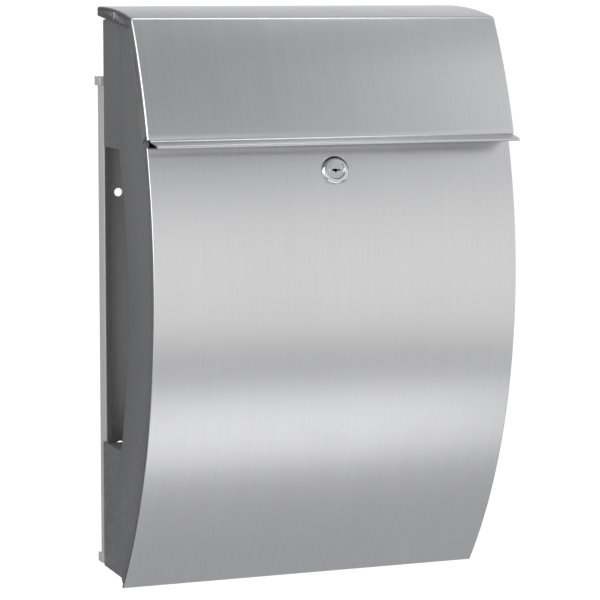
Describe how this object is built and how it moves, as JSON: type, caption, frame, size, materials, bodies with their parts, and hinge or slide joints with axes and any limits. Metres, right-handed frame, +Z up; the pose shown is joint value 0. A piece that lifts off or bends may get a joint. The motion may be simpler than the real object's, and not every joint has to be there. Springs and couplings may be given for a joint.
{
  "type": "wall mounted mailbox",
  "caption": "Wall mounted mailbox with a lift up hood over the letter slot, a curved bottom hinged door with a cam lock, and an open newspaper niche behind.",
  "frame": {"origin": "on the wall plane, at the middle of the four wall screw holes", "axes": "+X to the right seen from the front, +Y back into the wall, +Z up"},
  "size_m": [0.3668, 0.2002, 0.5505],
  "materials": {
    "painted_steel": "satin dark grey powder coat",
    "plate_steel": "satin mid grey powder coat",
    "stainless": "fine vertical brushed grain",
    "lock_chrome": "polished",
    "zinc_steel": "zinc plated",
    "black_rubber": "matte",
    "rod_steel": "drawn bar"
  },
  "bodies": {
    "housing": {"wall_plate": "plate_steel", "top_rail": "plate_steel", "bottom_rail": "plate_steel", "left_side": "painted_steel", "right_side": "painted_steel", "rear_panel": "painted_steel", "floor_panel": "painted_steel", "slot_sill": "painted_steel", "hood_pins": "zinc_steel", "hood_spacers": "black_rubber", "hood_bumpers": "black_rubber", "door_bumpers": "black_rubber", "housing_screws": "zinc_steel", "screw_washers": "zinc_steel", "hinge_rod": "rod_steel", "housing_knuckles": "painted_steel"},
    "hood": {"hood": "stainless"},
    "door": {"door_skin": "stainless", "door_pan": "painted_steel", "door_knuckles": "painted_steel", "lock_body": "lock_chrome", "lock_washer": "zinc_steel", "lock_nut": "zinc_steel"},
    "lock": {"lock_plug": "lock_chrome", "lock_cam": "zinc_steel", "cam_washer": "zinc_steel", "cam_screw": "zinc_steel"}
  },
  "joints": [
    {"name": "hood_hinge", "type": "hinge", "parent": "housing", "child": "hood", "pos_m": [0, -0.079, 0.29485], "axis": [-1, 0, 0], "range_deg": [0, 12]},
    {"name": "door_hinge", "type": "hinge", "parent": "housing", "child": "door", "pos_m": [0, -0.08358, -0.24352], "axis": [1, 0, 0], "range_deg": [0, 100]},
    {"name": "lock_turn", "type": "hinge", "parent": "door", "child": "lock", "pos_m": [0, -0.17888, 0.15298], "axis": [0, -0.9744, 0.225], "range_deg": [0, 90]}
  ]
}
